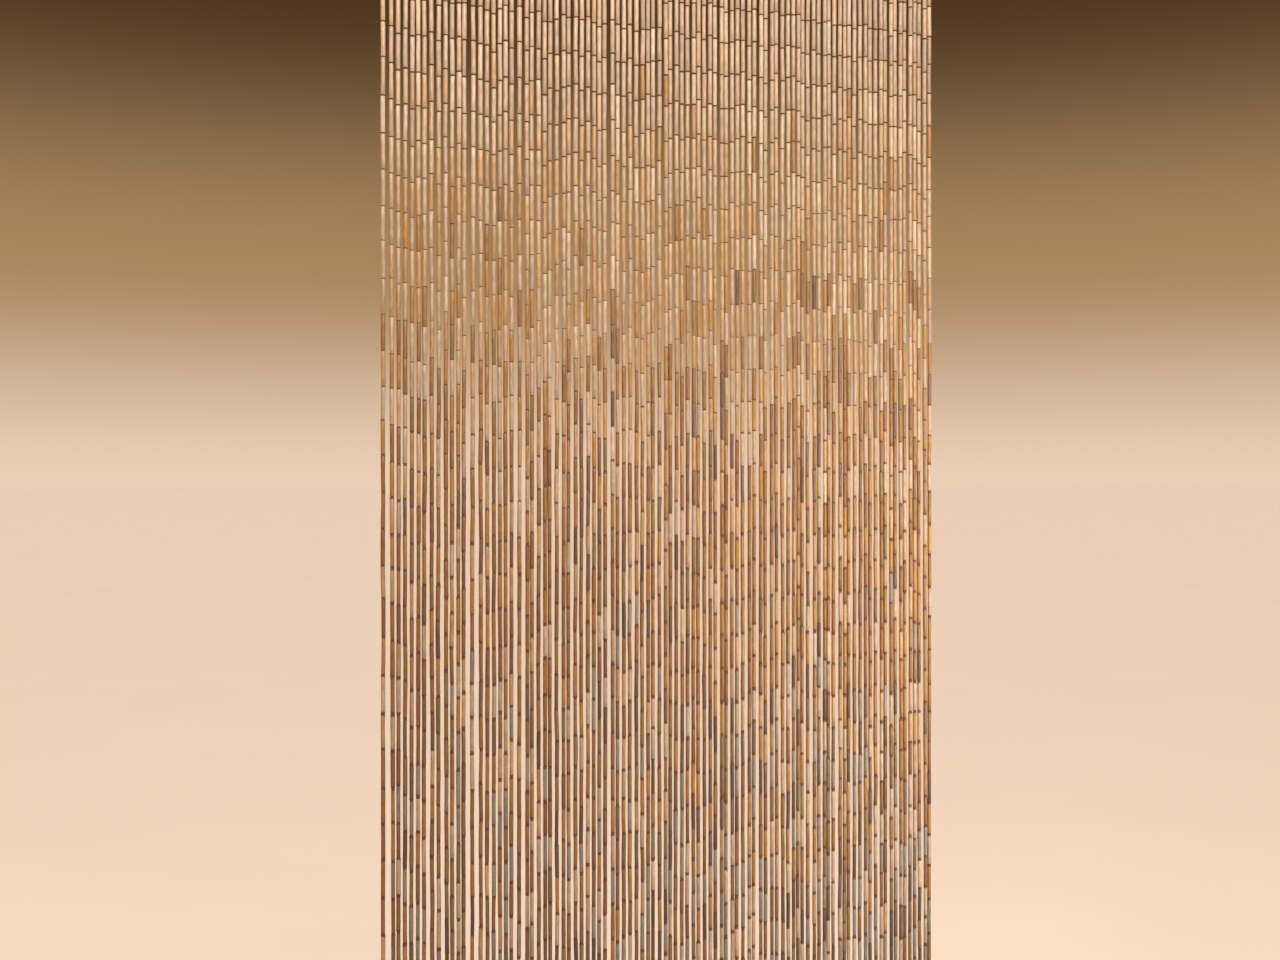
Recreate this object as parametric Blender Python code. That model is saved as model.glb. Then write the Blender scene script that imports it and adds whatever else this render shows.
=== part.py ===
"""Bamboo door curtain: a wooden header batten and a row of hanging bamboo strands.

Metres, +Z up. The origin is the middle of the batten's top edge, where the curtain is held.
+X runs along the batten, the front of the curtain faces -Y, and the strands hang towards -Z.

Each strand is one slim four-sided bar that stands for a chain of bamboo tube beads. The bars are
free of each other except at their roots, which share a narrow strip just under the batten.
"""

import math
import random

import bmesh
import bpy

# Overall size of a common door curtain
CURTAIN_WIDTH = 0.900
CURTAIN_DROP = 2.000

# Header batten
BATTEN_HEIGHT = 0.028
BATTEN_DEPTH = 0.012
BATTEN_EDGE = 0.0012
BATTEN_EDGE_STEPS = 2

# Strand row
STRAND_COUNT = 95
STRAND_WIDTH = 0.0060
ROOT_STRIP_HEIGHT = 0.004
PIECE_GAP = 0.0003
STRAND_SPANS = 5

# Unevenness of the strands, as hung
SPACING_JITTER = 0.0008
HANG_DRIFT = 0.0005
SWAY = 0.0012
END_JITTER = 0.015
SMALLEST_GAP = 0.0010
SEED = 41

# Strands that stand further from the one on their left: strand number, extra distance
WIDE_STEPS = {
    1: 0.0022, 3: 0.0006, 8: 0.0016, 13: 0.0016, 14: 0.0022, 20: 0.0016,
    26: 0.0008, 33: 0.0008, 37: 0.0012, 58: 0.0008, 61: 0.0012,
}

WOOD = {"name": "Pine", "colour": (0.55, 0.36, 0.19), "roughness": 0.55}
BAMBOO = {"name": "Bamboo", "colour": (0.60, 0.42, 0.23), "roughness": 0.40}


def clear_scene():
    for old in list(bpy.data.objects):
        bpy.data.objects.remove(old)


def make_material(finish):
    material = bpy.data.materials.new(finish["name"])
    material.use_nodes = True
    shader = material.node_tree.nodes["Principled BSDF"]
    shader.inputs["Base Color"].default_value = (*finish["colour"], 1.0)
    shader.inputs["Roughness"].default_value = finish["roughness"]
    shader.inputs["Metallic"].default_value = 0.0
    return material


def add_object(name, mesh_builder, finish):
    mesh = bpy.data.meshes.new(name)
    mesh_builder.to_mesh(mesh)
    mesh_builder.free()
    mesh.materials.append(make_material(finish))
    piece = bpy.data.objects.new(name, mesh)
    bpy.context.scene.collection.objects.link(piece)
    return piece


def make_batten():
    """The flat wooden bar, with its long and short edges eased."""
    bar = bmesh.new()
    bmesh.ops.create_cube(bar, size=1.0)
    bmesh.ops.scale(bar, vec=(CURTAIN_WIDTH, BATTEN_DEPTH, BATTEN_HEIGHT), verts=bar.verts)
    piece = add_object("header_batten", bar, WOOD)
    piece.location = (0.0, 0.0, -BATTEN_HEIGHT / 2)
    eased = piece.modifiers.new("Eased edges", "BEVEL")
    eased.width = BATTEN_EDGE
    eased.segments = BATTEN_EDGE_STEPS
    return piece


def strand_centres(draw):
    """Where each strand leaves its root, from left to right: an even pitch with a little unevenness."""
    first = -(CURTAIN_WIDTH - STRAND_WIDTH) / 2
    pitch = (CURTAIN_WIDTH - STRAND_WIDTH - sum(WIDE_STEPS.values())) / (STRAND_COUNT - 1)
    centres = [first]
    place = first
    for number in range(1, STRAND_COUNT):
        place += pitch + WIDE_STEPS.get(number, 0.0)
        shift = draw.gauss(0.0, SPACING_JITTER) if number < STRAND_COUNT - 1 else 0.0
        closest = centres[-1] + STRAND_WIDTH + SMALLEST_GAP
        last_place = -first - (STRAND_COUNT - 1 - number) * (STRAND_WIDTH + SMALLEST_GAP)
        centres.append(min(max(place + shift, closest), last_place))
    return centres


def strand_path(centre, draw):
    """The centre of one strand from its root down to its lower end, as (x, y, z)."""
    root_z = -BATTEN_HEIGHT - PIECE_GAP - ROOT_STRIP_HEIGHT
    end_z = -CURTAIN_DROP + draw.uniform(0.0, END_JITTER)
    phase = draw.uniform(0.0, 2 * math.pi)
    drift = 0.0
    path = [(centre, 0.0, root_z)]
    for step in range(1, STRAND_SPANS + 1):
        along = step / STRAND_SPANS
        drift += draw.gauss(0.0, HANG_DRIFT)
        depth = SWAY * along * math.sin(phase + 2 * math.pi * along)
        path.append((centre + drift, depth, root_z + (end_z - root_z) * along))
    return path


def keep_apart(paths):
    """Moves a strand right wherever it would touch the one on its left, and keeps the row's width."""
    limit = (CURTAIN_WIDTH - STRAND_WIDTH) / 2
    step = STRAND_WIDTH + SMALLEST_GAP
    for level in range(1, STRAND_SPANS + 1):
        xs = [path[level][0] for path in paths]
        xs[0] = max(xs[0], -limit)
        for number in range(1, STRAND_COUNT):
            xs[number] = max(xs[number], xs[number - 1] + step)
        xs[-1] = min(xs[-1], limit)
        for number in range(STRAND_COUNT - 2, -1, -1):
            xs[number] = min(xs[number], xs[number + 1] - step)
        for path, x in zip(paths, xs):
            path[level] = (x, *path[level][1:])


def add_ring(row, centre):
    """Four corners around a strand: front left, front right, back right, back left."""
    x, y, z = centre
    half = STRAND_WIDTH / 2
    corners = ((-half, -half), (half, -half), (half, half), (-half, half))
    return [row.verts.new((x + dx, y + dy, z)) for dx, dy in corners]


def add_strip_cell(row, top, root):
    """The part of the root strip over one strand: its top, front and back."""
    row.faces.new((top[0], top[1], top[2], top[3]))
    row.faces.new((top[1], top[0], root[0], root[1]))
    row.faces.new((top[3], top[2], root[2], root[3]))


def add_strip_link(row, top, root, next_top, next_root):
    """The part of the root strip between two strands: its top, front, back and underside."""
    row.faces.new((top[1], next_top[0], next_top[3], top[2]))
    row.faces.new((next_top[0], top[1], root[1], next_root[0]))
    row.faces.new((top[2], next_top[3], next_root[3], root[2]))
    row.faces.new((root[1], root[2], next_root[3], next_root[0]))


def add_strand(row, root, path):
    """One strand, from its root ring down to its closed lower end."""
    above = root
    for centre in path[1:]:
        below = add_ring(row, centre)
        for side in range(4):
            after = (side + 1) % 4
            row.faces.new((above[after], above[side], below[side], below[after]))
        above = below
    row.faces.new((above[3], above[2], above[1], above[0]))


def make_strand_row():
    """All strands, hanging from one narrow strip that holds their roots together."""
    draw = random.Random(SEED)
    paths = [strand_path(centre, draw) for centre in strand_centres(draw)]
    keep_apart(paths)
    row = bmesh.new()
    tops = [add_ring(row, (path[0][0], path[0][1], path[0][2] + ROOT_STRIP_HEIGHT)) for path in paths]
    roots = [add_ring(row, path[0]) for path in paths]
    for top, root, path in zip(tops, roots, paths):
        add_strip_cell(row, top, root)
        add_strand(row, root, path)
    for number in range(STRAND_COUNT - 1):
        add_strip_link(row, tops[number], roots[number], tops[number + 1], roots[number + 1])
    row.faces.new((tops[0][0], tops[0][3], roots[0][3], roots[0][0]))
    row.faces.new((tops[-1][2], tops[-1][1], roots[-1][1], roots[-1][2]))
    return add_object("strand_row", row, BAMBOO)


clear_scene()
make_batten()
make_strand_row()
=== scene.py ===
"""Bamboo door curtain: chains of cut bamboo tube beads on wire loops, below a plain pine batten.

Everything is in metres and in the frame's own axes: +X along the batten, the front facing -Y, and
z = 0 at the batten's top edge.
"""

import math

import bmesh
import bpy
import numpy as np
from bpy.props import FloatProperty, FloatVectorProperty, PointerProperty
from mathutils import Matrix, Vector


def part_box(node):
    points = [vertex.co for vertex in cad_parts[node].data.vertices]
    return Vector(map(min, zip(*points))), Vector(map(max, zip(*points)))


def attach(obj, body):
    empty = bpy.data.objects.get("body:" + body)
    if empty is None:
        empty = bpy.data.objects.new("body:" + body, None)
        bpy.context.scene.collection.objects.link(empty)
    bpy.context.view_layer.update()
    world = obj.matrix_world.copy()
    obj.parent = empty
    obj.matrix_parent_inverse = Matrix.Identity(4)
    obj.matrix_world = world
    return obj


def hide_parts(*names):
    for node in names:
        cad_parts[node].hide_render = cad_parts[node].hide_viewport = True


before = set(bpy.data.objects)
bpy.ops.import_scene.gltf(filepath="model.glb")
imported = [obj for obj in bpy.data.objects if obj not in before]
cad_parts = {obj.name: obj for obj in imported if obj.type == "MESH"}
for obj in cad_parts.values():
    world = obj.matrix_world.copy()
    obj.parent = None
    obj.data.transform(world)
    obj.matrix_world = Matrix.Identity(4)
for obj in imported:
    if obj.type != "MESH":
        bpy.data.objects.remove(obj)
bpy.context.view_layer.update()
BATTEN_LOW, BATTEN_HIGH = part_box("header_batten")
ROW_LOW, ROW_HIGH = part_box("strand_row")

bl_info = {
    "name": "Bamboo Door Curtain",
    "version": (1, 0, 0),
    "blender": (4, 5, 0),
    "location": "3D View > Sidebar > Curtain",
    "description": "Builds a door curtain of bamboo tube beads hanging from a pine batten",
    "category": "Object",
}

MM = 0.001
SEED = 7

# How the strands are shared out: bead pieces hold a few strands each, link pieces more
STRANDS_PER_BEAD_PIECE = 5
STRANDS_PER_LINK_PIECE = 19

# Mesh detail of one bead, one wire loop and the batten's edges
BEAD_SIDES = 9
LOOP_STEPS = 8
LOOP_SIDES = 3
BATTEN_EDGE_STEPS = 3

# Edges that turn by more than this are shaded sharp
SHARP_SMALL_PIECE = math.radians(55)
SHARP_BATTEN = math.radians(40)

# The map of many small pieces: free border of a tile, and how many times longer than wide a loop's is
TILE_BORDER = 0.04
LOOP_TILE_SHAPE = 3

# Reading the strands' bars from the frame: decimals that tell corners apart, corners in a ring, and
# the least distance from ring to ring
CORNER_DECIMALS = 5
BAR_CORNERS = 4
RING_STEP = 0.1

# The photograph's width and the focal length that suits it, in pixels, and a sensor's width in mm
IMAGE_WIDTH = 1280
FOCAL_PIXELS = 1400.0
SENSOR_WIDTH = 36.0


def linear(hex_colour):
    """An sRGB hex colour as linear red, green and blue."""
    channels = [int(hex_colour[i : i + 2], 16) / 255 for i in (0, 2, 4)]
    return tuple(c / 12.92 if c <= 0.04045 else ((c + 0.055) / 1.055) ** 2.4 for c in channels)


def colour_property(name, description, hex_colour):
    return FloatVectorProperty(
        name=name, description=description, subtype="COLOR", size=3, min=0.0, max=1.0,
        default=linear(hex_colour),
    )


def length_property(name, description, default):
    return FloatProperty(
        name=name, description=description, default=default, min=0.0,
        subtype="DISTANCE", unit="LENGTH", precision=5,
    )


# Cane tones: settings name, then its share among the beads at four depths. The darker tones that take over
# lower down are partly real cane and partly painted shade, standing in for the lower curtain getting less
# light than the top.
TONE_SHARES = (
    ("straw", 0.26, 0.06, 0.00, 0.00),
    ("tan", 0.42, 0.36, 0.01, 0.03),
    ("blush", 0.15, 0.10, 0.01, 0.09),
    ("sage", 0.12, 0.09, 0.02, 0.11),
    ("gold", 0.04, 0.33, 0.14, 0.01),
    ("honey", 0.01, 0.04, 0.20, 0.01),
    ("toast", 0.00, 0.02, 0.34, 0.07),
    ("olive", 0.00, 0.00, 0.08, 0.10),
    ("russet", 0.00, 0.00, 0.12, 0.04),
    ("chestnut", 0.00, 0.00, 0.06, 0.14),
    ("umber", 0.00, 0.00, 0.02, 0.11),
    ("ash", 0.00, 0.00, 0.00, 0.29),
)

# Those four depths as shares of the drop; between them the cane changes evenly, and its darkening lower down
# is partly painted shade
TONE_AND_SHADE_DEPTHS = (0.16, 0.28, 0.52, 0.88)

# Depths as shares of the drop, and how much of the longest browning the bead ends have there
BROWNED_DEPTHS = (0.18, 0.36, 0.52, 0.88)
BROWNED_SHARES = (0.34, 0.10, 0.95, 1.00)

# Between these depths the beads go from their width at the top to their width low down
WIDTH_DEPTHS = (0.15, 0.55)

# Between these the space from bead to bead closes up, because less hangs on it
GAP_DEPTHS = (0.16, 0.30)

# Shortest and longest cut as shares of the usual bead, and the rest of a strand that one bead takes up
SHORTEST_CUT = 0.6
LONGEST_CUT = 1.3
LAST_BEAD = 1.4

# Most that a width strays, in width spreads: much thinner cane turns up more than much thicker
WIDTH_STRAY = (-2.2, 1.6)

# Sideways shifts as shares of a full kink: of the first bead's top, and across a joint
FIRST_SHIFT = 0.5
JOINT_SHIFT = 0.4

# A chance shift or bend goes to at most this many times the usual one
MOST_STRAY = 2

# How a bead strays from a straight tube, as shares of its radius, and how much of its bow is in depth
TAPER_SPREAD = 0.035
SWELL_SPREAD = 0.018
OVAL_SPREAD = 0.02
BOW_IN_DEPTH = 0.6

# How one bead's look strays from the usual: brightness, warmth, and the length of its browned ends
BRIGHTNESS_SPREAD = 0.07
BRIGHTNESS_LIMITS = (0.8, 1.2)
WARMTH_SPREAD = 0.022
BROWNED_SPREAD = 0.2
BROWNED_LIMITS = (0.5, 1.5)

# Where the first bead starts, as a share of the inside of the loop that it hangs on
FIRST_BEAD_IN_LOOP = 0.25

# How wire loops stray: the turn in radians, at a joint and under the batten, and the width as a share
JOINT_TURN_SPREAD = 0.2
EYE_TURN_SPREAD = 0.15
LOOP_WIDTH_SPREAD = 0.05

# How far down a bead each ring of its surface is, as (share of its length, widths of the worn edge),
# and its radius, as (share of the bore's, share of the outer one's, widths of the worn edge)
BEAD_ROWS = (
    ((0.0, 0.0), (1.0, 0.0, 0.0)),
    ((0.0, 0.0), (0.0, 1.0, -1.0)),
    ((0.0, 1.0), (0.0, 1.0, 0.0)),
    ((0.32, 0.0), (0.0, 1.0, 0.0)),
    ((0.68, 0.0), (0.0, 1.0, 0.0)),
    ((1.0, -1.0), (0.0, 1.0, 0.0)),
    ((1.0, 0.0), (0.0, 1.0, -1.0)),
    ((1.0, 0.0), (1.0, 0.0, 0.0)),
)

# Where those rings lie along a bead's tile of the map, and last the first one again, through the bore
BEAD_MAP_ROWS = (0.0, 0.03, 0.05, 0.33, 0.65, 0.93, 0.95, 0.98, 1.0)

# The two soft lights: width and height, place, and the point they face
KEY_SIZE = (1.4, 0.8)
KEY_PLACE = (-0.40, -1.6, 0.50)
KEY_AIM = (-0.05, 0.0, -0.10)
FILL_SIZE = (0.5, 0.8)
FILL_PLACE = (0.70, -0.95, -1.15)
FILL_AIM = (0.55, 0.0, -1.20)
LAMP_TINT = (1.0, 0.98, 0.95)
CEILING_TINT = (1.0, 0.98, 0.96)

# Heights above the horizon, in degrees, over which the backdrop turns to its next tone. The middle and high
# tones are painted shade: a dark sheet of colour behind the curtain that shows between the strands as their
# shade.
MIDDLE_SHADE_RISE = (-1, 9)
PAINTED_SHADE_RISE = (8, 19)
CEILING_RISE = (40, 70)


class CaneSettings(bpy.types.PropertyGroup):
    """The bamboo beads: their sizes and the tones of cane."""

    bead_length: length_property("Bead length", "Usual length of one tube bead", 49.7 * MM)
    length_spread: length_property("Length spread", "How far cut lengths stray from it", 2.2 * MM)
    width_top: length_property("Bead width, top", "Usual outer width of the highest beads", 6.5 * MM)
    width_low: length_property("Bead width, low", "Usual outer width of the beads lower down", 5.95 * MM)
    width_spread: length_property("Width spread", "How far widths stray from it", 0.30 * MM)
    clearance: length_property("Clearance", "Least space between two strands' straight beads", 0.7 * MM)
    free_space: length_property("Free space", "Space beyond the least that lets beads stray fully", 1.6 * MM)
    bore: length_property("Bore", "Width of the hollow through a bead", 4.0 * MM)
    edge: length_property("Edge", "Width of the worn edge at a cut end", 0.35 * MM)
    gap_top: length_property("Gap, top", "Open space between two beads near the top", 0.6 * MM)
    gap_low: length_property("Gap, low", "Open space between two beads lower down", 0.3 * MM)
    browned: length_property("Browned length", "How far the lowest beads are browned at an end", 3.3 * MM)
    kink: length_property("Kink", "How far a joint strays from the hanging line", 0.30 * MM)
    bow: length_property("Bow", "How far a bead bends off straight", 0.20 * MM)
    tone_spread: FloatProperty(
        name="Tone spread", description="How far each bead keeps its own tone; at 0 all at one depth match",
        default=0.70, min=0.0, max=1.0,
    )
    # The darker tones, used mostly lower down, are partly real cane and partly painted shade for the less
    # lit lower curtain
    straw: colour_property("Straw", "Palest cane", "DBC4A7")
    tan: colour_property("Tan", "Commonest cane near the top", "C9AD8E")
    blush: colour_property("Blush", "Pinkish cane", "C7AA92")
    sage: colour_property("Sage", "Greenish cane", "C2AE8C")
    gold: colour_property("Gold", "Pale yellow-brown cane", "C29A68")
    honey: colour_property("Honey", "Yellow-brown cane", "AC7620")
    toast: colour_property("Toast", "Commonest cane half way down", "8C5C18")
    olive: colour_property("Olive", "Green-brown cane", "7C6428")
    russet: colour_property("Russet", "Rusty brown cane", "864C1C")
    chestnut: colour_property("Chestnut", "Red-brown cane", "664334")
    umber: colour_property("Umber", "Darkest cane", "36180F")
    ash: colour_property("Ash", "Grey-brown cane, commonest lowest down", "8A857C")
    cut_end: colour_property("Cut end", "Browned cut at a bead's ends", "603614")


class WireSettings(bpy.types.PropertyGroup):
    """The wire loops that join the beads, and the eyes under the batten."""

    thickness: length_property("Wire thickness", "Thickness of the wire", 1.0 * MM)
    loop_width: length_property("Loop width", "Outer width of one loop", 3.6 * MM)
    eye_height: length_property("Eye height", "Outer height of an eye under the batten", 6.0 * MM)
    eye_sunk: length_property("Eye sunk", "How much of an eye is driven into the wood", 3.2 * MM)
    colour: colour_property("Wire", "Dull browned steel", "543820")
    rust: colour_property("Rust", "Browner patches of the wire", "643814")


class BattenSettings(bpy.types.PropertyGroup):
    """The wooden header."""

    edge: length_property("Edge", "Radius of the sanded edges", 1.2 * MM)
    pale_wood: colour_property("Pale wood", "Early wood of pine", "CBAA80")
    dark_wood: colour_property("Dark wood", "Late wood lines of pine", "A0764A")
    knot: colour_property("Knot", "Heart of a small knot", "6E4424")


class StageSettings(bpy.types.PropertyGroup):
    """Camera, floor and lights."""

    turn: FloatProperty(
        name="Camera turn", description="How far the camera stands to the left of the front",
        default=math.radians(22.83), subtype="ANGLE", unit="ROTATION",
    )
    distance: length_property("Distance", "From the camera to the curtain it looks at", 2.077)
    aim_x: FloatProperty(
        name="Aim", description="Where along the curtain the picture's middle falls",
        default=-0.063, subtype="DISTANCE", unit="LENGTH",
    )
    camera_drop: length_property("Camera drop", "How far below the top edge the camera is", 0.95)
    floor_drop: length_property("Floor drop", "How far below the top edge the floor is", 2.06)
    floor_extent: length_property("Floor extent", "Width of the floor, enough to meet the horizon", 400.0)
    floor: colour_property("Floor", "Pale matt floor", "F6DDC6")
    horizon: colour_property("Backdrop, low", "Backdrop where it meets the floor", "EDD0B6")
    # The middle and high backdrop tones are painted shade: they darken what shows between the strands
    middle: colour_property("Backdrop, middle", "Backdrop above the camera's height", "A8865E")
    upper: colour_property("Backdrop, high", "Backdrop behind the curtain's top", "50361E")
    ceiling: FloatProperty(
        name="Ceiling light", description="Brightness of the wide soft light overhead",
        default=2.33, min=0.0,
    )
    key_power: FloatProperty(
        name="Key light", description="Power of the soft light in front of the curtain's top",
        default=34.5, min=0.0, subtype="POWER", unit="POWER",
    )
    fill_power: FloatProperty(
        name="Fill light", description="Power of the soft light in front of the curtain's right half",
        default=4.0, min=0.0, subtype="POWER", unit="POWER",
    )
    fill_spread: FloatProperty(
        name="Fill spread", description="How widely the fill light fans out; a grid keeps it off the floor",
        default=math.radians(85.0), subtype="ANGLE", unit="ROTATION",
    )


# Materials. Where sockets go by number, a Map Range node takes its value in 0, the range that it reads
# in 1 and 2, and the range that it gives in 3 and 4. A Mix node of colours takes the second one's share
# in 0 and the two colours in 6 and 7, and gives the result in its output 2.

def add_node(tree, kind, settings=None, links=None):
    """Adds a node, sets its properties or input values, and links its inputs from outputs."""
    node = tree.nodes.new(kind)
    for name, value in (settings or {}).items():
        if isinstance(name, str) and hasattr(node, name):
            setattr(node, name, value)
        else:
            node.inputs[name].default_value = value
    for name, output in (links or {}).items():
        tree.links.new(output, node.inputs[name])
    return node


def new_material(name):
    """A material with a bare Principled shader. Returns it, its tree and the shader."""
    material = bpy.data.materials.new(name)
    material.use_nodes = True
    tree = material.node_tree
    return material, tree, tree.nodes["Principled BSDF"]


def solid(colour):
    """The colour with full opacity, as a node's colour input takes it."""
    return (*colour, 1.0)


def bamboo_material(cane):
    """Bamboo cane, cut, tumbled and lightly polished.

    The eye sees long fibres, faint blotches from the skin's wax, dark pores, a soft gloss along each
    bead and brown cut ends. Fibres are drawn 0.5 mm wide, about twice the real width, to show.
    """
    material, tree, shader = new_material("polished_bamboo_cane")
    tone = add_node(tree, "ShaderNodeAttribute", {"attribute_name": "tone"})
    end_share = add_node(tree, "ShaderNodeAttribute", {"attribute_name": "end_share"}).outputs["Fac"]
    chance = add_node(tree, "ShaderNodeAttribute", {"attribute_name": "chance"}).outputs["Fac"]
    place = add_node(tree, "ShaderNodeTexCoord").outputs["Object"]
    patches_apart = (7.0, 3.0, 5.0)
    own_patch = add_node(tree, "ShaderNodeVectorMath", {"operation": "SCALE", 0: patches_apart},
                         {"Scale": chance})
    shifted = add_node(tree, "ShaderNodeVectorMath", {"operation": "ADD"},
                       {0: place, 1: own_patch.outputs[0]})
    fibre_width, fibre_length = 0.5 * MM, 30.0 * MM
    along_fibres = add_node(
        tree, "ShaderNodeMapping",
        {"Scale": (1 / fibre_width, 1 / fibre_width, 1 / fibre_length)}, {"Vector": shifted.outputs[0]},
    )
    fibres = add_node(tree, "ShaderNodeTexNoise", {"Scale": 1.0, "Detail": 3.0, "Roughness": 0.6},
                      {"Vector": along_fibres.outputs[0]})
    blotch_width, blotch_length = 4.0 * MM, 14.0 * MM
    over_blotches = add_node(
        tree, "ShaderNodeMapping",
        {"Scale": (1 / blotch_width, 1 / blotch_width, 1 / blotch_length)},
        {"Vector": shifted.outputs[0]},
    )
    blotches = add_node(tree, "ShaderNodeTexNoise", {"Scale": 1.0, "Detail": 2.0},
                        {"Vector": over_blotches.outputs[0]})
    pore_spacing = 3.6 * MM
    pores = add_node(tree, "ShaderNodeTexVoronoi", {"Scale": 1 / pore_spacing},
                     {"Vector": shifted.outputs[0]})

    fibre_shade = add_node(tree, "ShaderNodeMapRange", {1: 0.3, 2: 0.7, 3: 0.80, 4: 1.14},
                           {0: fibres.outputs[0]})
    blotch_shade = add_node(tree, "ShaderNodeMapRange", {1: 0.35, 2: 0.70, 3: 0.0, 4: 0.30},
                            {0: blotches.outputs[0]})
    pore_shade = add_node(tree, "ShaderNodeMapRange", {1: 0.06, 2: 0.16, 3: 0.55, 4: 0.0},
                          {0: pores.outputs[0]})
    end_shade = add_node(tree, "ShaderNodeMapRange", {1: 0.60, 2: 1.0, 3: 0.95, 4: 0.0}, {0: end_share})
    stained = add_node(tree, "ShaderNodeMix",
                       {"data_type": "RGBA", "blend_type": "MULTIPLY", 7: solid(cane.chestnut)},
                       {0: blotch_shade.outputs[0], 6: tone.outputs["Color"]})
    fibred = add_node(tree, "ShaderNodeVectorMath", {"operation": "SCALE"},
                      {0: stained.outputs[2], "Scale": fibre_shade.outputs[0]})
    pored = add_node(tree, "ShaderNodeMix", {"data_type": "RGBA", 7: solid(cane.cut_end)},
                     {0: pore_shade.outputs[0], 6: fibred.outputs[0]})
    browned = add_node(tree, "ShaderNodeMix", {"data_type": "RGBA", 7: solid(cane.cut_end)},
                       {0: end_shade.outputs[0], 6: pored.outputs[2]})
    tree.links.new(browned.outputs[2], shader.inputs["Base Color"])

    gloss = add_node(tree, "ShaderNodeMath", {"operation": "MULTIPLY_ADD", 1: 0.12, 2: 0.30},
                     {0: chance})
    rough = add_node(tree, "ShaderNodeMath", {"operation": "MULTIPLY_ADD", 1: 0.16},
                     {0: fibres.outputs[0], 2: gloss.outputs[0]})
    tree.links.new(rough.outputs[0], shader.inputs["Roughness"])
    grooves = add_node(tree, "ShaderNodeBump", {"Strength": 0.5, "Distance": 0.08 * MM},
                       {"Height": fibres.outputs[0]})
    tree.links.new(grooves.outputs[0], shader.inputs["Normal"])
    shader.inputs["IOR"].default_value = 1.53
    return material


def wire_material(wire):
    """Annealed steel wire, drawn and left bare, so it is dull and slightly rusted.

    The eye sees a dark thread with a weak metal glint and browner patches a few millimetres long.
    """
    material, tree, shader = new_material("annealed_steel_wire")
    place = add_node(tree, "ShaderNodeTexCoord").outputs["Object"]
    patch = 2.5 * MM
    patches = add_node(tree, "ShaderNodeTexNoise", {"Scale": 1 / patch, "Detail": 2.0}, {"Vector": place})
    amount = add_node(tree, "ShaderNodeMapRange", {1: 0.4, 2: 0.6}, {0: patches.outputs[0]})
    rusted = add_node(tree, "ShaderNodeMix",
                      {"data_type": "RGBA", 6: solid(wire.colour), 7: solid(wire.rust)},
                      {0: amount.outputs[0]})
    tree.links.new(rusted.outputs[2], shader.inputs["Base Color"])
    rough = add_node(tree, "ShaderNodeMapRange", {1: 0.3, 2: 0.7, 3: 0.42, 4: 0.70},
                     {0: patches.outputs[0]})
    tree.links.new(rough.outputs[0], shader.inputs["Roughness"])
    shader.inputs["Metallic"].default_value = 0.1
    return material


def pine_material(batten):
    """Pine, planed, sanded and given a thin satin varnish.

    The eye sees straight late-wood lines 3 to 6 mm apart that wander along the batten, a fine fibre,
    a few small knots, and a soft even sheen.
    """
    material, tree, shader = new_material("varnished_pine")
    place = add_node(tree, "ShaderNodeTexCoord").outputs["Object"]
    bends_per_metre, furthest_drift = 3.0, 14.0 * MM
    wander = add_node(tree, "ShaderNodeTexNoise", {"Scale": bends_per_metre, "Detail": 2.0},
                      {"Vector": place})
    drift = add_node(tree, "ShaderNodeVectorMath", {"operation": "SCALE", "Scale": furthest_drift},
                     {0: wander.outputs["Color"]})
    bent = add_node(tree, "ShaderNodeVectorMath", {"operation": "ADD"}, {0: place, 1: drift.outputs[0]})
    ring_spacing = 4.5 * MM
    wave_spacing_at_scale_1 = 0.314
    stretched = add_node(tree, "ShaderNodeMapping", {"Scale": (0.05, 0.8, 1.0)},
                         {"Vector": bent.outputs[0]})
    rings = add_node(tree, "ShaderNodeTexWave",
                     {"wave_type": "BANDS", "bands_direction": "Z", "wave_profile": "SAW",
                      "Scale": wave_spacing_at_scale_1 / ring_spacing, "Distortion": 1.2, "Detail": 2.0,
                      "Detail Scale": 1.5},
                     {"Vector": stretched.outputs[0]})
    late = add_node(tree, "ShaderNodeMapRange", {1: 0.35, 2: 0.95, 3: 0.0, 4: 0.85},
                    {0: rings.outputs["Fac"]})
    wood = add_node(tree, "ShaderNodeMix",
                    {"data_type": "RGBA", 6: solid(batten.pale_wood), 7: solid(batten.dark_wood)},
                    {0: late.outputs[0]})
    fibre_width, fibre_length = 0.6 * MM, 40.0 * MM
    along = add_node(tree, "ShaderNodeMapping",
                     {"Scale": (1 / fibre_length, 1 / fibre_width, 1 / fibre_width)}, {"Vector": place})
    fibres = add_node(tree, "ShaderNodeTexNoise", {"Scale": 1.0, "Detail": 3.0},
                      {"Vector": along.outputs[0]})
    fibre_shade = add_node(tree, "ShaderNodeMapRange", {1: 0.3, 2: 0.7, 3: 0.88, 4: 1.08},
                           {0: fibres.outputs[0]})
    fibred = add_node(tree, "ShaderNodeVectorMath", {"operation": "SCALE"},
                      {0: wood.outputs[2], "Scale": fibre_shade.outputs[0]})
    knots_per_metre = 6.5
    knots = add_node(tree, "ShaderNodeTexVoronoi", {"Scale": knots_per_metre}, {"Vector": place})
    knot_amount = add_node(tree, "ShaderNodeMapRange", {1: 0.02, 2: 0.05, 3: 0.9, 4: 0.0},
                           {0: knots.outputs["Distance"]})
    knotted = add_node(tree, "ShaderNodeMix", {"data_type": "RGBA", 7: solid(batten.knot)},
                       {0: knot_amount.outputs[0], 6: fibred.outputs[0]})
    tree.links.new(knotted.outputs[2], shader.inputs["Base Color"])
    rough = add_node(tree, "ShaderNodeMapRange", {1: 0.3, 2: 0.7, 3: 0.34, 4: 0.48},
                     {0: fibres.outputs[0]})
    tree.links.new(rough.outputs[0], shader.inputs["Roughness"])
    grain = add_node(tree, "ShaderNodeBump", {"Strength": 0.35, "Distance": 0.15 * MM},
                     {"Height": fibres.outputs[0]})
    tree.links.new(grain.outputs[0], shader.inputs["Normal"])
    shader.inputs["IOR"].default_value = 1.5
    return material


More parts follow.
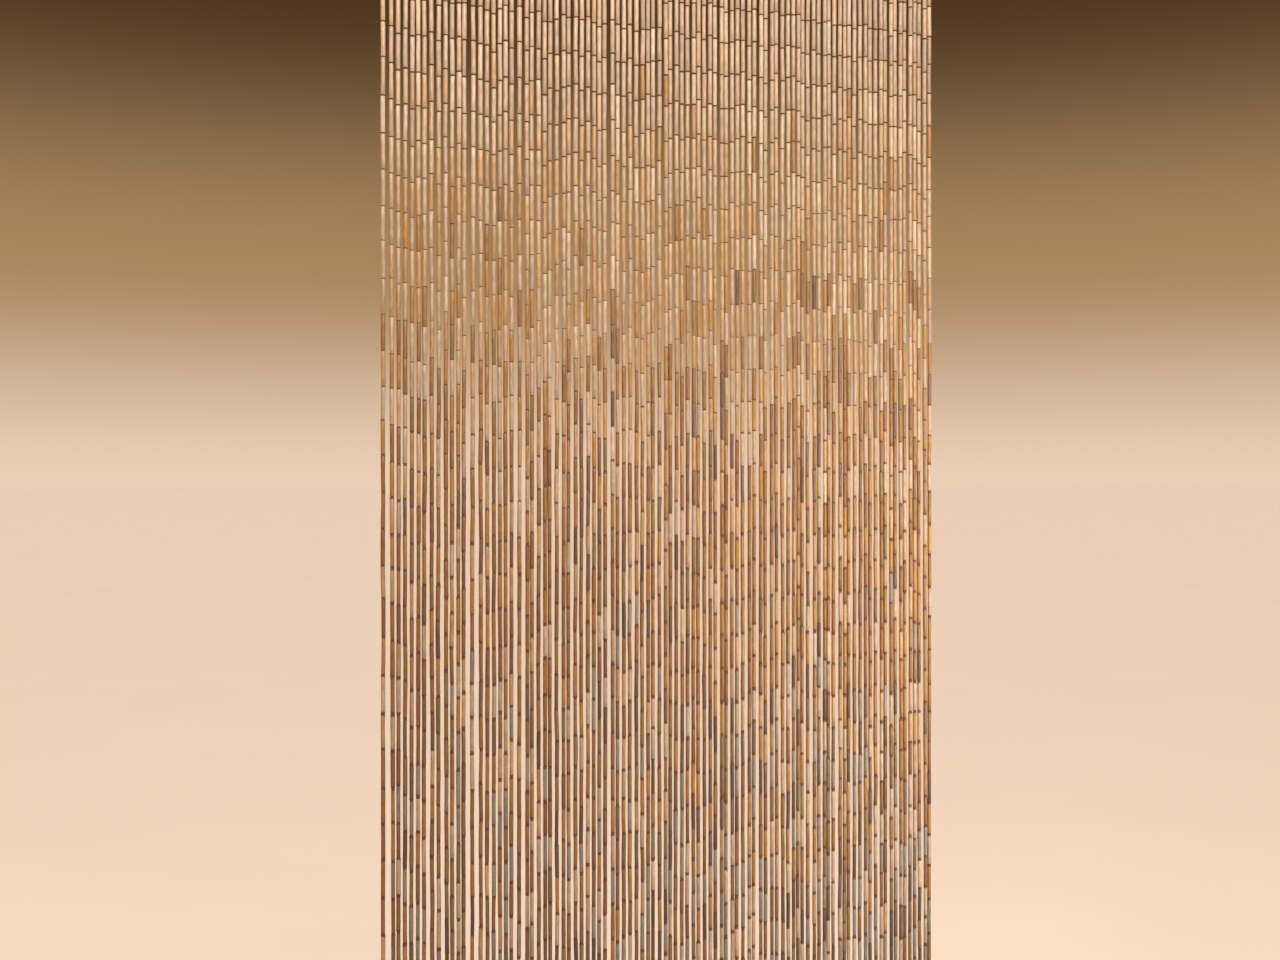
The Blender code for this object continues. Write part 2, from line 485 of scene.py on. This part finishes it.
def floor_material(stage):
    """Matt painted board: a plain pale floor with a faint unevenness."""
    material, tree, shader = new_material("matt_painted_board")
    place = add_node(tree, "ShaderNodeTexCoord").outputs["Object"]
    clouds_per_metre = 1.5
    cloud = add_node(tree, "ShaderNodeTexNoise", {"Scale": clouds_per_metre, "Detail": 2.0},
                     {"Vector": place})
    shade = add_node(tree, "ShaderNodeMapRange", {1: 0.3, 2: 0.7, 3: 0.98, 4: 1.0},
                     {0: cloud.outputs[0]})
    colour = add_node(tree, "ShaderNodeVectorMath", {"operation": "SCALE", 0: stage.floor},
                      {"Scale": shade.outputs[0]})
    tree.links.new(colour.outputs[0], shader.inputs["Base Color"])
    shader.inputs["Roughness"].default_value = 0.9
    return material


# Meshes that are many copies of one small ring-shaped surface

def tile_places(copies, rows, sides, row_places):
    """Map coordinates of every face corner, one tile of the map for each copy."""
    tile_shape = LOOP_TILE_SHAPE if rows > sides else 1
    across = math.ceil(math.sqrt(copies / tile_shape))
    down = math.ceil(copies / across)
    u = TILE_BORDER + (1 - 2 * TILE_BORDER) * np.asarray(row_places)
    v = TILE_BORDER + (1 - 2 * TILE_BORDER) * np.arange(sides + 1) / sides
    row, side = np.divmod(np.arange(rows * sides), sides)
    corners = np.stack(
        [np.stack([u[row + r], v[side + s]], axis=-1) for r, s in ((0, 0), (1, 0), (1, 1), (0, 1))],
        axis=1,
    )
    copy = np.arange(copies)
    tile = np.stack([copy % across, copy // across], axis=-1)[:, None, None, :]
    return ((corners[None] + tile) / (across, down)).reshape(-1, 2)


def ring_faces(copies, rows, sides):
    """Corner numbers of the quads of many closed surfaces, each rows by sides points."""
    row, side = np.divmod(np.arange(rows * sides), sides)
    next_row, next_side = (row + 1) % rows, (side + 1) % sides
    one = np.stack(
        [row * sides + side, next_row * sides + side, next_row * sides + next_side, row * sides + next_side],
        axis=1,
    )
    return (one[None] + np.arange(copies)[:, None, None] * rows * sides).reshape(-1, 4)


def add_ring_mesh(name, points, row_places, material):
    """One object from points[copy, row, side, xyz]; each copy closes on itself both ways."""
    copies, rows, sides, _ = points.shape
    faces = ring_faces(copies, rows, sides)
    mesh = bpy.data.meshes.new(name)
    mesh.vertices.add(copies * rows * sides)
    mesh.vertices.foreach_set("co", points.astype(np.float32).ravel())
    mesh.loops.add(faces.size)
    mesh.loops.foreach_set("vertex_index", faces.astype(np.int32).ravel())
    mesh.polygons.add(len(faces))
    mesh.polygons.foreach_set("loop_start", np.arange(0, faces.size, 4, dtype=np.int32))
    mesh.update(calc_edges=True)
    places = tile_places(copies, rows, sides, row_places)
    mesh.uv_layers.new(name="OFBake").uv.foreach_set("vector", places.astype(np.float32).ravel())
    mesh.materials.append(material)
    piece = bpy.data.objects.new(name, mesh)
    bpy.context.scene.collection.objects.link(piece)
    mesh.shade_smooth()
    mesh.set_sharp_from_angle(angle=SHARP_SMALL_PIECE)
    mesh.validate()
    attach(piece, "root")
    return piece


def add_point_colours(piece, name, values):
    """Stores red, green and blue at each point of the piece."""
    layer = piece.data.attributes.new(name, "FLOAT_COLOR", "POINT")
    with_alpha = np.concatenate([values, np.ones((*values.shape[:-1], 1))], axis=-1)
    layer.data.foreach_set("color", with_alpha.astype(np.float32).ravel())


def add_point_values(piece, name, values):
    """Stores one value at each point of the piece."""
    layer = piece.data.attributes.new(name, "FLOAT", "POINT")
    layer.data.foreach_set("value", values.astype(np.float32).ravel())


# Where everything hangs

def strand_paths():
    """Centre lines of the strands from left to right, read from the frame: [strand, level, xyz]."""
    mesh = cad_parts["strand_row"].data
    corners = np.unique(np.round([tuple(v.co) for v in mesh.vertices], CORNER_DECIMALS), axis=0)
    below_strip_top = corners[:, 2] < ROW_HIGH.z - 1.0 * MM
    corners = corners[below_strip_top]
    corners = corners[np.argsort(-corners[:, 2])]
    level_starts = np.where(np.diff(-corners[:, 2]) > RING_STEP)[0] + 1
    levels = [level[np.argsort(level[:, 0])] for level in np.split(corners, level_starts)]
    return np.stack([level.reshape(-1, BAR_CORNERS, 3).mean(axis=1) for level in levels], axis=1)


def on_path(path, z):
    """The point of a strand's centre line at height z."""
    xs, ys, zs = path[::-1].T
    return np.array([np.interp(z, zs, xs), np.interp(z, zs, ys), z])


def first_bead_top(wire):
    """Where the first bead starts: under the eye and the loop that hangs in it."""
    loop_inside = wire.loop_width - 2 * wire.thickness
    eye_bottom = BATTEN_LOW.z - (wire.eye_height - wire.eye_sunk)
    return eye_bottom + wire.thickness - loop_inside * FIRST_BEAD_IN_LOOP


def room_beside(paths, cane):
    """The widest bead that each strand can carry, and how freely its beads may stray, from 0 to 1."""
    between = np.diff(paths[:, :, 0], axis=0).min(axis=1)
    beside = np.minimum(np.append(between, between[-1]), np.insert(between, 0, between[0]))
    widest = beside - cane.clearance
    space = beside - np.minimum(widest, cane.width_top)
    return widest, ((space - cane.clearance / 2) / cane.free_space).clip(0.0, 1.0)


def sideways(draw, usual):
    """A small chance shift along X and Y."""
    return np.append(draw.normal(0.0, usual, 2).clip(-MOST_STRAY * usual, MOST_STRAY * usual), 0.0)


def hang_beads(cane, wire):
    """Lays out every bead of every strand, the same way each time. Returns records, top to bottom."""
    draw = np.random.default_rng(SEED)
    paths = strand_paths()
    widest, freedom = room_beside(paths, cane)
    beads = []
    for strand, path in enumerate(paths):
        end = path[-1][2]
        z = first_bead_top(wire)
        joint = sideways(draw, cane.kink * FIRST_SHIFT) * freedom[strand]
        finished = False
        while not finished:
            cut = np.clip(draw.normal(cane.bead_length, cane.length_spread),
                          SHORTEST_CUT * cane.bead_length, LONGEST_CUT * cane.bead_length)
            finished = z - end < LAST_BEAD * cane.bead_length
            length = z - end if finished else cut
            next_joint = sideways(draw, cane.kink) * freedom[strand]
            usual = np.interp(z / end, WIDTH_DEPTHS, (cane.width_top, cane.width_low))
            stray = cane.width_spread * np.clip(draw.normal(), *WIDTH_STRAY)
            width = min(usual + stray, widest[strand])
            gap = np.interp(z / end, GAP_DEPTHS, (cane.gap_top, cane.gap_low))
            beads.append({
                "strand": strand,
                "top": on_path(path, z) + joint,
                "bottom": on_path(path, z - length) + next_joint,
                "width": width,
                "gap": gap,
                "freedom": freedom[strand],
            })
            joint = next_joint + sideways(draw, cane.kink * JOINT_SHIFT) * freedom[strand]
            z -= length + gap
    return beads


def bead_tones_and_depth_shade(cane, beads):
    """A cane tone for each bead: pale near the top, darker and mixed lower down, each a little off the
    usual. The darkening lower down is partly painted shade, for the lower curtain being less lit.
    """
    draw = np.random.default_rng(SEED + 1)
    palette = np.array([getattr(cane, name) for name, *_ in TONE_SHARES])
    depth = np.array([bead["top"][2] for bead in beads]) / ROW_LOW.z
    # Shares by depth: darker tones lower down, partly painted shade
    shares = np.stack([np.interp(depth, TONE_AND_SHADE_DEPTHS, row) for _, *row in TONE_SHARES], axis=1)
    shares = shares / shares.sum(axis=1, keepdims=True)
    limits = np.cumsum(shares, axis=1)
    pick = (draw.random((len(beads), 1)) > limits).sum(axis=1).clip(0, len(palette) - 1)
    usual = shares @ palette
    tones = usual + (palette[pick] - usual) * cane.tone_spread
    brightness = draw.normal(1.0, BRIGHTNESS_SPREAD, (len(beads), 1)).clip(*BRIGHTNESS_LIMITS)
    warmth = draw.normal(0.0, WARMTH_SPREAD, (len(beads), 1)) * np.array([[1.0, 0.0, -1.0]])
    return (tones * brightness * (1 + warmth)).clip(0.0, 1.0)


def bead_points(cane, beads, draw):
    """Points of every bead: [bead, ring, side, xyz], and how far each ring is down the bead."""
    count, rows = len(beads), len(BEAD_ROWS)
    top = np.array([bead["top"] for bead in beads])
    bottom = np.array([bead["bottom"] for bead in beads])
    outer = np.array([bead["width"] for bead in beads]) / 2
    length = top[:, 2] - bottom[:, 2]
    down_share, down_edge = np.array([row[0] for row in BEAD_ROWS]).T
    bore_share, outer_share, radius_edge = np.array([row[1] for row in BEAD_ROWS]).T
    down = length[:, None] * down_share + cane.edge * down_edge
    share = down / length[:, None]
    taper = 1 + draw.normal(0.0, TAPER_SPREAD, (count, 1)) * (share - 0.5)
    swell = 1 + draw.normal(0.0, SWELL_SPREAD, (count, rows))
    radius = (
        bore_share * cane.bore / 2 + outer_share * outer[:, None] * taper * swell + radius_edge * cane.edge
    )
    centre = top[:, None] + (bottom - top)[:, None] * share[..., None]
    bend_way = draw.uniform(0, 2 * math.pi, count)
    bow = cane.bow * draw.normal(0.0, 1.0, count).clip(-MOST_STRAY, MOST_STRAY)
    bow *= [bead["freedom"] for bead in beads]
    bend = bow[:, None] * np.sin(math.pi * share)
    centre[..., 0] += bend * np.cos(bend_way)[:, None]
    centre[..., 1] += bend * np.sin(bend_way)[:, None] * BOW_IN_DEPTH
    around = np.arange(BEAD_SIDES) * 2 * math.pi / BEAD_SIDES
    angle = draw.uniform(0, 2 * math.pi, (count, 1, 1)) + around
    oval = 1 + draw.normal(0.0, OVAL_SPREAD, (count, 1, 1)) * np.cos(2 * around)
    points = np.repeat(centre[:, :, None], BEAD_SIDES, axis=2)
    points[..., 0] += radius[..., None] * oval * np.cos(angle)
    points[..., 1] += radius[..., None] * oval * np.sin(angle)
    return points, down


def end_shares(cane, beads, down, draw):
    """How far each ring is from its bead's nearest end, as a share of the bead's browned length."""
    top_z, low_z = (np.array([bead[end][2] for bead in beads]) for end in ("top", "bottom"))
    depth = (top_z / ROW_LOW.z).clip(0, 1)
    browned = cane.browned * np.interp(depth, BROWNED_DEPTHS, BROWNED_SHARES)
    browned = browned * draw.normal(1.0, BROWNED_SPREAD, len(beads)).clip(*BROWNED_LIMITS)
    nearest_end = np.minimum(down, (top_z - low_z)[:, None] - down)
    return nearest_end / browned[:, None]


def groups_of(strand_count, size):
    """The strands' numbers in groups of a size, the last group smaller if need be."""
    return [range(start, min(start + size, strand_count)) for start in range(0, strand_count, size)]


def loop_points(centres, turns, heights, wire, draw):
    """Closed wire loops: [loop, step, side, xyz]. A loop's height may differ from its width.

    The sides run clockwise round the wire, seen along it, so that its faces point outwards.
    """
    along = np.arange(LOOP_STEPS) * 2 * math.pi / LOOP_STEPS
    around = -np.arange(LOOP_SIDES) * 2 * math.pi / LOOP_SIDES
    wire_radius = wire.thickness / 2
    width_share = draw.normal(1.0, LOOP_WIDTH_SPREAD, (len(centres), 1, 1))
    half_width = (wire.loop_width / 2 - wire_radius) * width_share
    half_height = (heights / 2 - wire_radius)[:, None, None]
    across, up = np.cos(along)[None, :, None], np.sin(along)[None, :, None]
    swing = wire_radius * np.cos(around)
    level = (half_width + swing) * across
    upright = (half_height + swing) * up
    side = wire_radius * np.sin(around) * np.ones_like(level)
    way = np.stack([np.cos(turns), np.sin(turns)])[:, :, None, None]
    x = level * way[0] - side * way[1]
    y = level * way[1] + side * way[0]
    z = upright * np.ones_like(level)
    return np.stack([x, y, z], axis=-1) + centres[:, None, None]


def joint_loops(cane, wire, beads, draw):
    """Centres, turns and heights of the loops at both ends of every bead.

    Two loops that meet at a joint hang about a quarter turn apart, one in the other.
    """
    loop_inside = wire.loop_width - 2 * wire.thickness
    centres, turns = [], []
    turn = 0.0
    for bead in beads:
        centres.append(bead["top"] + (0, 0, bead["gap"] / 2 - loop_inside / 2))
        turns.append(turn + math.pi / 2 + draw.normal(0.0, JOINT_TURN_SPREAD))
        turn = draw.uniform(0, math.pi)
        centres.append(bead["bottom"] - (0, 0, bead["gap"] / 2 - loop_inside / 2))
        turns.append(turn)
    return np.array(centres), np.array(turns), np.full(len(centres), wire.loop_width)


# Operators

class CURTAIN_OT_beads(bpy.types.Operator):
    """Strings the bamboo tube beads of every strand"""

    bl_idname = "curtain.beads"
    bl_label = "Bamboo Beads"

    def execute(self, context):
        cane, wire = context.scene.curtain_cane, context.scene.curtain_wire
        beads = hang_beads(cane, wire)
        tones = bead_tones_and_depth_shade(cane, beads)
        draw = np.random.default_rng(SEED + 2)
        points, down = bead_points(cane, beads, draw)
        end_share = end_shares(cane, beads, down, draw)
        chance = draw.random((len(beads), 1))
        strands = np.array([bead["strand"] for bead in beads])
        material = bamboo_material(cane)
        for number, group in enumerate(groups_of(strands.max() + 1, STRANDS_PER_BEAD_PIECE), start=1):
            mine = np.isin(strands, group)
            piece = add_ring_mesh(f"beads_{number:02d}", points[mine], BEAD_MAP_ROWS, material)
            shape = points[mine].shape
            add_point_colours(piece, "tone", np.broadcast_to(tones[mine][:, None, None], shape))
            add_point_values(piece, "end_share", np.broadcast_to(end_share[mine][..., None], shape[:3]))
            add_point_values(piece, "chance", np.broadcast_to(chance[mine][..., None], shape[:3]))
            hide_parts("strand_row")
        return {"FINISHED"}


class CURTAIN_OT_links(bpy.types.Operator):
    """Bends the wire loops between the beads"""

    bl_idname = "curtain.links"
    bl_label = "Wire Links"

    def execute(self, context):
        cane, wire = context.scene.curtain_cane, context.scene.curtain_wire
        beads = hang_beads(cane, wire)
        draw = np.random.default_rng(SEED + 3)
        centres, turns, heights = joint_loops(cane, wire, beads, draw)
        points = loop_points(centres, turns, heights, wire, draw)
        strands = np.repeat([bead["strand"] for bead in beads], 2)
        material = wire_material(wire)
        rows = np.linspace(0, 1, LOOP_STEPS + 1)
        for number, group in enumerate(groups_of(strands.max() + 1, STRANDS_PER_LINK_PIECE), start=1):
            piece = add_ring_mesh(f"links_{number:02d}", points[np.isin(strands, group)], rows, material)
        return {"FINISHED"}


class CURTAIN_OT_eyes(bpy.types.Operator):
    """Drives a wire eye into the batten over every strand"""

    bl_idname = "curtain.eyes"
    bl_label = "Wire Eyes"

    def execute(self, context):
        wire = context.scene.curtain_wire
        draw = np.random.default_rng(SEED + 4)
        roots = strand_paths()[:, 0]
        centres = roots.copy()
        centres[:, 2] = BATTEN_LOW.z + wire.eye_sunk - wire.eye_height / 2
        heights = np.full(len(centres), wire.eye_height)
        turns = draw.normal(0.0, EYE_TURN_SPREAD, len(centres))
        points = loop_points(centres, turns, heights, wire, draw)
        rows = np.linspace(0, 1, LOOP_STEPS + 1)
        piece = add_ring_mesh("batten_eyes", points, rows, wire_material(wire))
        return {"FINISHED"}


class CURTAIN_OT_batten(bpy.types.Operator):
    """Cuts the header batten and rounds its edges"""

    bl_idname = "curtain.batten"
    bl_label = "Pine Batten"

    def execute(self, context):
        batten = context.scene.curtain_batten
        mesh_builder = bmesh.new()
        bmesh.ops.create_cube(mesh_builder, size=1.0)
        size = BATTEN_HIGH - BATTEN_LOW
        middle = (BATTEN_HIGH + BATTEN_LOW) / 2
        bmesh.ops.scale(mesh_builder, vec=size, verts=mesh_builder.verts)
        bmesh.ops.bevel(mesh_builder, geom=mesh_builder.edges[:], offset=batten.edge,
                        segments=BATTEN_EDGE_STEPS, profile=0.5, affect="EDGES", clamp_overlap=True)
        bmesh.ops.translate(mesh_builder, vec=middle, verts=mesh_builder.verts)
        mesh = bpy.data.meshes.new("batten")
        mesh_builder.to_mesh(mesh)
        mesh_builder.free()
        mesh.materials.append(pine_material(batten))
        mesh.shade_smooth()
        mesh.set_sharp_from_angle(angle=SHARP_BATTEN)
        piece = bpy.data.objects.new("batten", mesh)
        context.scene.collection.objects.link(piece)
        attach(piece, "root")
        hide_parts("header_batten")
        return {"FINISHED"}


def add_soft_box(name, power, size, place, aim, spread=math.pi):
    """A rectangular soft light that the camera does not see."""
    light = bpy.data.lights.new(name, "AREA")
    light.shape = "RECTANGLE"
    light.size, light.size_y = size
    light.energy = power
    light.spread = spread
    light.color = LAMP_TINT
    lamp = bpy.data.objects.new(name, light)
    lamp.location = place
    lamp.rotation_euler = (Vector(aim) - lamp.location).to_track_quat("-Z", "Y").to_euler()
    lamp.visible_camera = False
    bpy.context.scene.collection.objects.link(lamp)


def add_world(stage):
    """A studio backdrop, pale at the floor, under a bright ceiling; its darker middle and high tones are
    painted shade that shows between the strands.
    """
    world = bpy.data.worlds.new("studio")
    world.use_nodes = True
    bpy.context.scene.world = world
    tree = world.node_tree
    sky = add_node(tree, "ShaderNodeTexCoord").outputs["Generated"]
    height = add_node(tree, "ShaderNodeSeparateXYZ", links={0: sky}).outputs[2]
    overhead = [stage.ceiling * share for share in CEILING_TINT]
    horizon = add_node(tree, "ShaderNodeRGB")
    horizon.outputs[0].default_value = solid(stage.horizon)
    backdrop = horizon.outputs[0]
    # The middle and high tones are painted shade between the strands
    for rise, tone in ((MIDDLE_SHADE_RISE, stage.middle), (PAINTED_SHADE_RISE, stage.upper), (CEILING_RISE, overhead)):
        start, end = (math.sin(math.radians(angle)) for angle in rise)
        amount = add_node(tree, "ShaderNodeMapRange",
                          {"interpolation_type": "SMOOTHSTEP", 1: start, 2: end}, {0: height})
        mixed = add_node(tree, "ShaderNodeMix", {"data_type": "RGBA", 7: solid(tone)},
                         {0: amount.outputs[0], 6: backdrop})
        backdrop = mixed.outputs[2]
    tree.links.new(backdrop, tree.nodes["Background"].inputs["Color"])


class CURTAIN_OT_stage(bpy.types.Operator):
    """Sets the pale floor, the soft lights and the camera"""

    bl_idname = "curtain.stage"
    bl_label = "Studio Stage"

    def execute(self, context):
        stage = context.scene.curtain_stage
        bpy.ops.mesh.primitive_plane_add(size=stage.floor_extent, location=(0, 0, -stage.floor_drop))
        floor = context.active_object
        floor.name = "floor"
        floor.data.materials.append(floor_material(stage))
        add_world(stage)
        add_soft_box("key", stage.key_power, KEY_SIZE, KEY_PLACE, KEY_AIM)
        add_soft_box("fill", stage.fill_power, FILL_SIZE, FILL_PLACE, FILL_AIM, stage.fill_spread)
        data = bpy.data.cameras.new("photograph")
        data.clip_end = stage.floor_extent
        data.sensor_width = SENSOR_WIDTH
        data.lens = FOCAL_PIXELS * SENSOR_WIDTH / IMAGE_WIDTH
        camera = bpy.data.objects.new("photograph", data)
        aim = Vector((stage.aim_x, 0.0, -stage.camera_drop))
        back = Vector((-math.sin(stage.turn), -math.cos(stage.turn), 0.0))
        camera.location = aim + back * stage.distance
        camera.rotation_euler = (-back).to_track_quat("-Z", "Y").to_euler()
        context.scene.collection.objects.link(camera)
        context.scene.camera = camera
        context.scene.view_settings.view_transform = "Standard"
        return {"FINISHED"}


class CURTAIN_PT_panel(bpy.types.Panel):
    """Lists the steps and sizes of the curtain"""

    bl_idname = "CURTAIN_PT_panel"
    bl_label = "Bamboo Door Curtain"
    bl_space_type = "VIEW_3D"
    bl_region_type = "UI"
    bl_category = "Curtain"

    def draw(self, context):
        scene = context.scene
        for settings, steps in (
            (scene.curtain_cane, (CURTAIN_OT_beads,)),
            (scene.curtain_wire, (CURTAIN_OT_links, CURTAIN_OT_eyes)),
            (scene.curtain_batten, (CURTAIN_OT_batten,)),
            (scene.curtain_stage, (CURTAIN_OT_stage,)),
        ):
            box = self.layout.box()
            for name in settings.__annotations__:
                box.prop(settings, name)
            for step in steps:
                box.operator(step.bl_idname)


CLASSES = (
    CaneSettings, WireSettings, BattenSettings, StageSettings,
    CURTAIN_OT_beads, CURTAIN_OT_links, CURTAIN_OT_eyes, CURTAIN_OT_batten, CURTAIN_OT_stage,
    CURTAIN_PT_panel,
)


def register():
    for item in CLASSES:
        bpy.utils.register_class(item)
    bpy.types.Scene.curtain_cane = PointerProperty(type=CaneSettings)
    bpy.types.Scene.curtain_wire = PointerProperty(type=WireSettings)
    bpy.types.Scene.curtain_batten = PointerProperty(type=BattenSettings)
    bpy.types.Scene.curtain_stage = PointerProperty(type=StageSettings)


def unregister():
    for name in ("curtain_stage", "curtain_batten", "curtain_wire", "curtain_cane"):
        delattr(bpy.types.Scene, name)
    for item in reversed(CLASSES):
        bpy.utils.unregister_class(item)


def main():
    register()
    bpy.ops.curtain.batten()
    bpy.ops.curtain.eyes()
    bpy.ops.curtain.beads()
    bpy.ops.curtain.links()
    bpy.ops.curtain.stage()
    bpy.context.view_layer.update()


if __name__ == "__main__":
    main()
